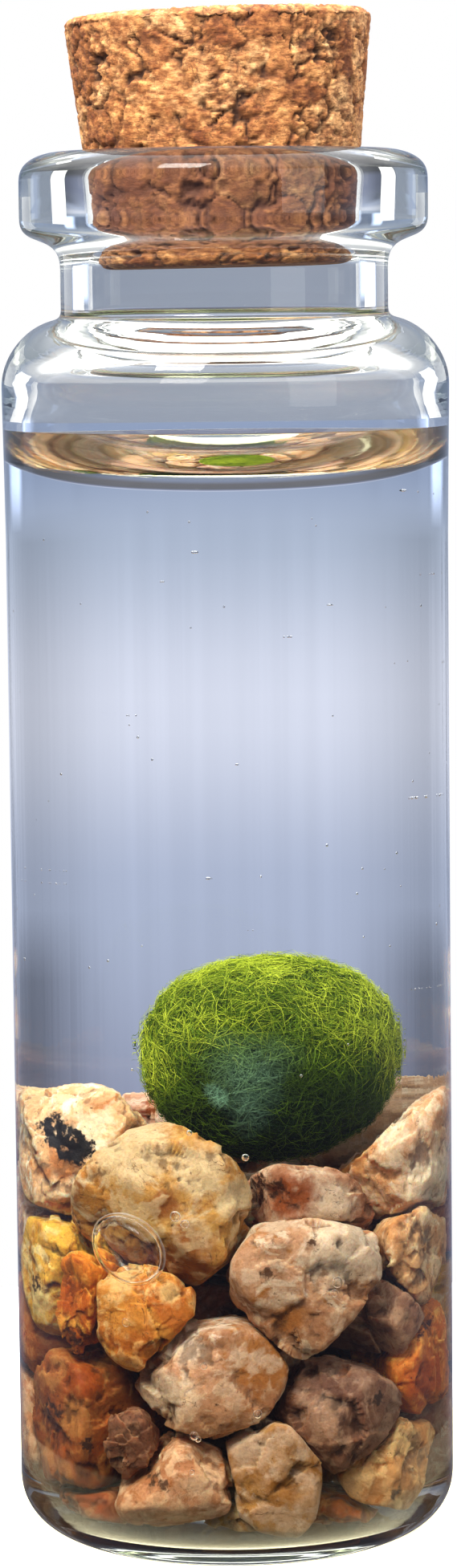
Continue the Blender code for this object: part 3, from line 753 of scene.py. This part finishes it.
def graded(node, link, value, stops, scale=1.0, smooth=False):
    """Colours or strengths that follow a value, from rows of its place on the scale and what it has there."""
    made = node("ShaderNodeValToRGB")
    while len(made.color_ramp.elements) < len(stops):
        made.color_ramp.elements.new(0.5)
    for element, (position, shade) in zip(made.color_ramp.elements, stops):
        element.position, element.color = position / scale, (*np.broadcast_to(shade, 3), 1)
    made.color_ramp.interpolation = "EASE" if smooth else "LINEAR"
    link(value, made.inputs["Fac"])
    return made.outputs["Color"]


def moss_finish(name, root, middle, tip):
    """Green from a dark root colour to a bright tip colour, by a value stored on each thread that holds its
    own tone with painted light and shade worked in; a painted reflection and pale wisps are blended over it.
    """
    finish, shader, node, link, _, (_, _, blend, *_) = brushes(name)
    green = graded(node, link, stored(node, "along"), ((0, root), (0.5, middle), (1, tip)))
    # The painted reflection and the pale wisps blend the green towards a pale blue-green.
    link(blend(stored(node, "silt"), green, (0.26, 0.50, 0.32)), shader.inputs["Base Color"])
    settle(shader, {"Roughness": 0.6, "IOR": 1.2})
    return finish


moss = moss_finish("marimo_green", (0.006, 0.018, 0.002), (0.13, 0.24, 0.006), (0.72, 0.86, 0.06))
draw = np.random.default_rng(7)
for number in range(THREAD_PIECES):
    ring, tone, silt = thread_tubes(draw, THREADS_EACH)
    points, faces = thread_mesh(ring)
    threads = put(f"moss_threads_{number + 1}", points, faces, [moss], smooth=False)
    # The first value holds each thread's own tone with the painted light and shade worked in; the second
    # holds the painted reflection and the pale wisps.
    store(threads, along=np.repeat(tone, 3), silt=np.repeat(silt, 3))
    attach(threads, "root")
    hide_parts("moss_ball")
# The heart's greens are near black: painted shade in the depth between the threads.
heart_ways, heart_faces = sphere_grid(60, 90)
heart_depth = 0.85 + 0.03 * layered_noise(heart_ways * 5, 0.8, 3, 3)
heart_reach = BALL_RADIUS * ball_outline(heart_ways) * heart_depth
heart = put("moss_heart", BALL_CENTRE + heart_ways * heart_reach[:, None], heart_faces,
            [moss_finish("marimo_heart", (0.01, 0.03, 0.002), (0.02, 0.05, 0.003), (0.03, 0.07, 0.004))])
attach(heart, "root")
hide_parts("moss_ball")

# THE CORK
# A tapered stopper of pressed cork granules, cut smooth on its side, with the gaps between granules open.
# It stands a little askew in the mouth.
CORK_LOW, CORK_TOP, CORK_LOW_RADIUS, CORK_SLOPE, CORK_EDGE = 63.6, 75.9, 6.3, 0.105, 0.35
CORK_LEAN, CORK_PIVOT = math.radians(-1.5), 68.0
CORK_MIDDLE, CORK_CAP = 69.5, 6.0


def nearest_cells(points, size, salt):
    """Distances to the nearest and second nearest seed, and a random number that belongs to the nearest."""
    best = np.full((len(points), 2), 9.0)
    owner = np.zeros(len(points))
    for scaled, at, seed in seeds_around(points, size, salt):
        away = np.linalg.norm(at + seed - scaled, axis=1)
        closer = away < best[:, 0]
        best[:, 1] = np.where(closer, best[:, 0], np.minimum(best[:, 1], away))
        best[:, 0] = np.where(closer, away, best[:, 0])
        owner = np.where(closer, seed[:, 0], owner)
    return best[:, 0] * size, best[:, 1] * size, owner


def cork_surface(rows=230, columns=420):
    """A cone's outline carried round the axis, with each point then drawn inwards where a seam between two
    granules, a pit or a chipped edge is."""
    def side_radius(z):
        return CORK_LOW_RADIUS + CORK_SLOPE * (z - CORK_LOW)

    low = softened([
        np.array([[0.0, CORK_LOW], [side_radius(CORK_LOW) - CORK_EDGE, CORK_LOW]]),
        np.array([[side_radius(CORK_LOW), CORK_LOW + CORK_EDGE],
                  [side_radius(CORK_TOP), CORK_TOP - CORK_EDGE]]),
        np.array([[side_radius(CORK_TOP) - CORK_EDGE, CORK_TOP], [0.0, CORK_TOP]]),
    ], passes=2)
    along = np.concatenate([[0], np.cumsum(np.linalg.norm(np.diff(low, axis=0), axis=1))])
    even = np.linspace(0, along[-1], rows)
    profile = np.column_stack([np.interp(even, along, low[:, k]) for k in (0, 1)])
    profile[[0, -1], 0] = 0
    points, faces, _ = turned(profile, columns)
    flat = points * [1, 1, 0]
    flat /= np.maximum(np.linalg.norm(flat, axis=1), 1e-9)[:, None]
    raised = points[:, 2:] - CORK_MIDDLE
    outward = np.where(np.abs(raised) > CORK_CAP, [0, 0, 1.0] * np.sign(raised), flat)
    warp = wander(points, 1.5, 11, 4)
    near, second, owner = nearest_cells(points * [1, 1, 1.3] + warp * 2.4, 2.1, 5)
    seam = np.clip(1 - (second - near) / 0.20, 0, 1)
    tiny_near, tiny_second, tiny_owner = nearest_cells(points + warp * 1.0, 0.55, 9)
    tiny_seam = np.clip(1 - (tiny_second - tiny_near) / 0.12, 0, 1)
    crumbs = np.clip((layered_noise(points, 2.2, 61, 3) - 0.46) * 6, 0, 1)
    pits = np.clip((layered_noise(points, 0.8, 31, 4) - 0.60) * 8, 0, 1) * (0.4 + 0.6 * crumbs)
    open_seam = seam * np.clip((layered_noise(points, 1.3, 41, 3) - 0.35) * 5, 0, 1)
    tiny_seam = tiny_seam * (0.25 + 0.75 * crumbs)
    taken = 0.26 * open_seam + 0.13 * tiny_seam + 0.30 * pits + 0.06 * layered_noise(points, 0.35, 51, 2)
    points = points - outward * taken[:, None]
    tilt = points - np.array([0, 0, CORK_PIVOT])
    c, s = math.cos(CORK_LEAN), math.sin(CORK_LEAN)
    across, up = c * tilt[:, 0] + s * tilt[:, 2], c * tilt[:, 2] - s * tilt[:, 0]
    points = np.column_stack([across, tilt[:, 1], up + CORK_PIVOT])
    return points, faces, np.clip(open_seam + 0.9 * pits + 0.6 * tiny_seam, 0, 1), owner, tiny_owner


def cork_finish():
    """Granules of slightly different browns, fine fibre grain, dark brown in the gaps, and painted shade
    where the cork stands inside the neck.
    """
    finish, shader, node, link, place, makers = brushes("pressed_cork")
    noise, share, blend, _, crack, roughen = makers
    browns = ((0.15, (0.42, 0.155, 0.043)), (0.5, (0.74, 0.34, 0.11)), (0.85, (0.90, 0.52, 0.22)))
    colour = graded(node, link, stored(node, "granule"), browns)
    mapping = node("ShaderNodeMapping")
    settle(mapping, {"Scale": (0.5, 0.5, 1.25), "Rotation": (0.45, 0.35, 0.0)})
    link(place, mapping.inputs["Vector"])
    strands = mapping.outputs["Vector"]
    for size, low, high, shade, source in (
        (0.9, 0.40, 0.62, (0.54, 0.40, 0.32), place), (0.22, 0.34, 0.60, (0.38, 0.26, 0.20), strands),
    ):
        fibre = noise(size, 6, rough=0.65, at=source)
        grain = blend(share(fibre, low, high, "LINEAR"), shade, (1.22, 1.22, 1.22))
        colour = blend(1.0, colour, grain, "MULTIPLY")
    for size, width, strength in ((1.9, 0.010, 0.75), (0.8, 0.014, 0.6)):
        thin = crack(size, width, 1.6, 0.5, strands, "LINEAR", strength)
        colour = blend(thin, colour, (0.10, 0.035, 0.012))
    for title, shade in (("gap", (0.055, 0.020, 0.009)), ("bore", (0.20, 0.075, 0.045))):
        colour = blend(stored(node, title), colour, shade)
    link(colour, shader.inputs["Base Color"])
    settle(shader, {"Roughness": 0.85})
    roughen(fibre, 0.7, 0.09)
    return finish


points, faces, gap_value, owner, tiny_owner = cork_surface()
cork = put("cork_stopper", points, faces, [cork_finish()])
# Painted shade: the cork is darker where it stands inside the neck, from just below the lip's top downwards.
in_bore = 0.55 * np.clip((LIP_TOP - points[:, 2]) / 0.8, 0, 1) * np.clip((points[:, 2] - 64.4) / 0.6, 0, 1)
store(cork, gap=gap_value, granule=np.clip(0.65 * owner + 0.35 * tiny_owner, 0, 1), bore=in_bore)
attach(cork, "root")
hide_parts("cork")

# THE STAGE
# A plain pale floor, soft studio light from above and in front, and the photograph's camera.
CAMERA_AWAY, CAMERA_HEIGHT, CAMERA_LENS = 0.2237, 0.0632, 103.05
CAMERA_DOWN, CAMERA_ROLL = math.radians(6.5), math.radians(0.63)
CAMERA_ASIDE = 0.00022
SHADED_RADIUS, NEAR_RADIUS, FAR_RADIUS = 7.2, 25.0, 55.0
CARD_AWAY, CARD_SPAN = 30.0, (57.8, 67.5)

# Under the vial the floor is a darker brown disc, a painted shadow; round it a warm band glows to light the
# foot from below, and beyond that a paler band glows faintly.
for title, near_radius, far_radius, shade, shine in (
    ("floor_shaded", 0.0, SHADED_RADIUS, (0.42, 0.31, 0.18), 0.10),
    ("floor_near", SHADED_RADIUS, NEAR_RADIUS, (0.90, 0.86, 0.60), 1.1),
    ("floor_far", NEAR_RADIUS, FAR_RADIUS, (0.86, 0.87, 0.90), 0.35),
):
    points, faces, _ = turned(np.array([[near_radius, -0.05], [far_radius, -0.05]]), 96)
    floor_finish, shader, _, _ = new_finish(title)
    settle(shader, {"Base Color": (*shade, 1), "Roughness": 0.7, "Emission Color": (1.0, 0.91, 0.58, 1),
                    "Emission Strength": shine})
    floor = put(title, points, [face[::-1] for face in faces], [floor_finish])
    floor.visible_glossy = False
    floor.visible_transmission = title != "floor_far"

# A grey card stands behind the mouth, seen only through the glass, with a white card at each side of it.
for title, first_turn, last_turn, shade in (
    ("grey_card", -41, 41, (0.25, 0.29, 0.38)), ("white_card_left", -60, -42, (1.3, 1.3, 1.3)),
    ("white_card_right", 42, 60, (1.3, 1.3, 1.3)),
):
    turns = np.radians(np.linspace(first_turn, last_turn, 9))
    across, back = CARD_AWAY * np.sin(turns), CARD_AWAY * np.cos(turns)
    low, high = (np.column_stack([across, back, np.full(9, z)]) for z in CARD_SPAN)
    k = np.arange(8)
    card_finish, shader, _, _ = new_finish(title)
    settle(shader, {"Base Color": (0, 0, 0, 1), "Emission Color": (*(np.array(shade) / max(shade)), 1),
                    "Emission Strength": max(shade)})
    faces = np.column_stack([k, k + 1, k + 10, k + 9]).tolist()
    card = put(title, np.vstack([low, high]), faces, [card_finish])
    card.visible_camera = card.visible_shadow = card.visible_diffuse = False

world = bpy.data.worlds.new("studio")
bpy.context.scene.world = world
world.use_nodes = True
tree = world.node_tree
node, link = tree.nodes.new, tree.links.new
backdrop = tree.nodes["Background"]
settle(backdrop, {"Color": (1, 1, 1, 1)})
around = node("ShaderNodeBackground")
way = node("ShaderNodeTexCoord")
parts = node("ShaderNodeSeparateXYZ")
level = node("ShaderNodeMapRange")
settle(level, {"From Min": -1})
link(way.outputs["Generated"], parts.inputs["Vector"])
link(parts.outputs["Z"], level.inputs["Value"])
sideways = worked_out(node, link, "ABSOLUTE", parts.outputs["X"])
turn = worked_out(node, link, "ARCTAN2", sideways, parts.outputs["Y"])
half_turn = node("ShaderNodeMapRange")
settle(half_turn, {"From Max": math.pi})
link(turn, half_turn.inputs["Value"])

# How bright the surroundings are, as rows of a place from 0 to 1 or a turn in degrees, then a value.
SKY = ((0.0, (0.36, 0.42, 0.54)), (0.10, (0.24, 0.28, 0.40)), (0.22, (0.16, 0.16, 0.18)),
       (0.35, (0.15, 0.155, 0.18)), (0.40, (0.26, 0.29, 0.42)), (0.431, (0.42, 0.48, 0.65)),
       (0.4525, (0.69, 0.73, 0.88)), (0.4725, (0.42, 0.49, 0.64)), (0.492, (0.29, 0.365, 0.55)),
       (0.635, (0.34, 0.40, 0.53)), (0.70, (0.7, 0.72, 0.76)), (0.80, (3.0, 3.0, 2.95)),
       (1.0, (3.4, 3.4, 3.3)))
PANELS = ((0, 1.0), (18, 0.92), (21, 0.84), (23, 0.92), (36, 0.86), (41, 0.9), (44, 4.0), (51, 4.0),
          (56, 0.6), (90, 0.5), (130, 0.7), (180, 0.8))
PANEL_HEIGHT = ((0.0, 0), (0.478, 0), (0.488, 1), (0.55, 1), (0.62, 0))
LOW_SIDES = ((0, 1.0), (2, 0.97), (4, 1.02), (6, 0.97), (8, 1.03), (10, 0.97), (12, 1.03), (14, 0.98),
             (17, 0.95), (21, 0.88), (26, 0.80), (32, 0.70), (37, 0.64), (41, 0.66), (46, 0.78), (51, 0.92),
             (58, 1.05), (180, 0.9))
LOW_HEIGHT = ((0.0, 0.6), (0.40, 1), (0.474, 1), (0.482, 0), (1.0, 0))
SHADED_SIDES = ((0, 1.0), (15, 1.0), (22, 0.88), (28, 0.68), (34, 0.48), (50, 0.46), (58, 0.7), (66, 1.0),
                (180, 1.0))
SHADED_HEIGHT = ((0.0, 0.5), (0.40, 0.7), (0.412, 0.8), (0.4185, 1), (0.4235, 1), (0.4285, 0), (1.0, 0))
height, side = level.outputs["Result"], half_turn.outputs["Result"]
colour = graded(node, link, height, SKY, smooth=True)
for heights, strengths in ((PANEL_HEIGHT, PANELS), (LOW_HEIGHT, LOW_SIDES), (SHADED_HEIGHT, SHADED_SIDES)):
    both = node("ShaderNodeMix")
    both.data_type, both.blend_type = "RGBA", "MULTIPLY"
    both.clamp_result = False
    link(graded(node, link, height, heights), both.inputs["Factor"])
    link(colour, both.inputs[6])
    link(graded(node, link, side, strengths, 180), both.inputs[7])
    colour = both.outputs[2]
link(colour, around.inputs["Color"])
rays = node("ShaderNodeLightPath")
mix = node("ShaderNodeMixShader")
link(rays.outputs["Is Camera Ray"], mix.inputs[0])
link(around.outputs[0], mix.inputs[1])
link(backdrop.outputs[0], mix.inputs[2])
link(mix.outputs[0], tree.nodes["World Output"].inputs["Surface"])


def soft_light(name, place, aim, size, power, colour=(1, 1, 1), seen=False):
    """A square soft box at a place, in metres, turned to face the aim."""
    lamp = bpy.data.lights.new(name, "AREA")
    lamp.size, lamp.energy, lamp.color = size, power, colour
    made = bpy.data.objects.new(name, lamp)
    bpy.context.scene.collection.objects.link(made)
    made.location = place
    away = np.array(place) - np.array(aim)
    tilt = math.atan2(math.hypot(away[0], away[1]), away[2])
    made.rotation_euler = (tilt, 0, math.atan2(away[0], -away[1]))
    made.visible_camera = False
    made.visible_transmission = seen
    return made


soft_light("key", (-0.13, -0.26, 0.34), (0, 0, 0.03), 0.16, 2.6, (1.0, 0.95, 0.87), seen=True)
soft_light("fill", (0.30, -0.30, 0.14), (0, 0, 0.03), 0.20, 0.4)

camera = bpy.data.objects.new("camera", bpy.data.cameras.new("camera"))
bpy.context.scene.collection.objects.link(camera)
camera.data.lens = CAMERA_LENS
camera.data.clip_start = 0.01
camera.location = (CAMERA_ASIDE, -CAMERA_AWAY, CAMERA_HEIGHT)
camera.rotation_mode = "XYZ"
camera.rotation_euler = (math.pi / 2 - CAMERA_DOWN, CAMERA_ROLL, 0)
bpy.context.scene.camera = camera
bpy.context.scene.view_settings.view_transform = "Standard"
cycles = bpy.context.scene.cycles
cycles.caustics_refractive = cycles.caustics_reflective = False
cycles.max_bounces = 32
cycles.transmission_bounces = cycles.glossy_bounces = cycles.transparent_max_bounces = 24
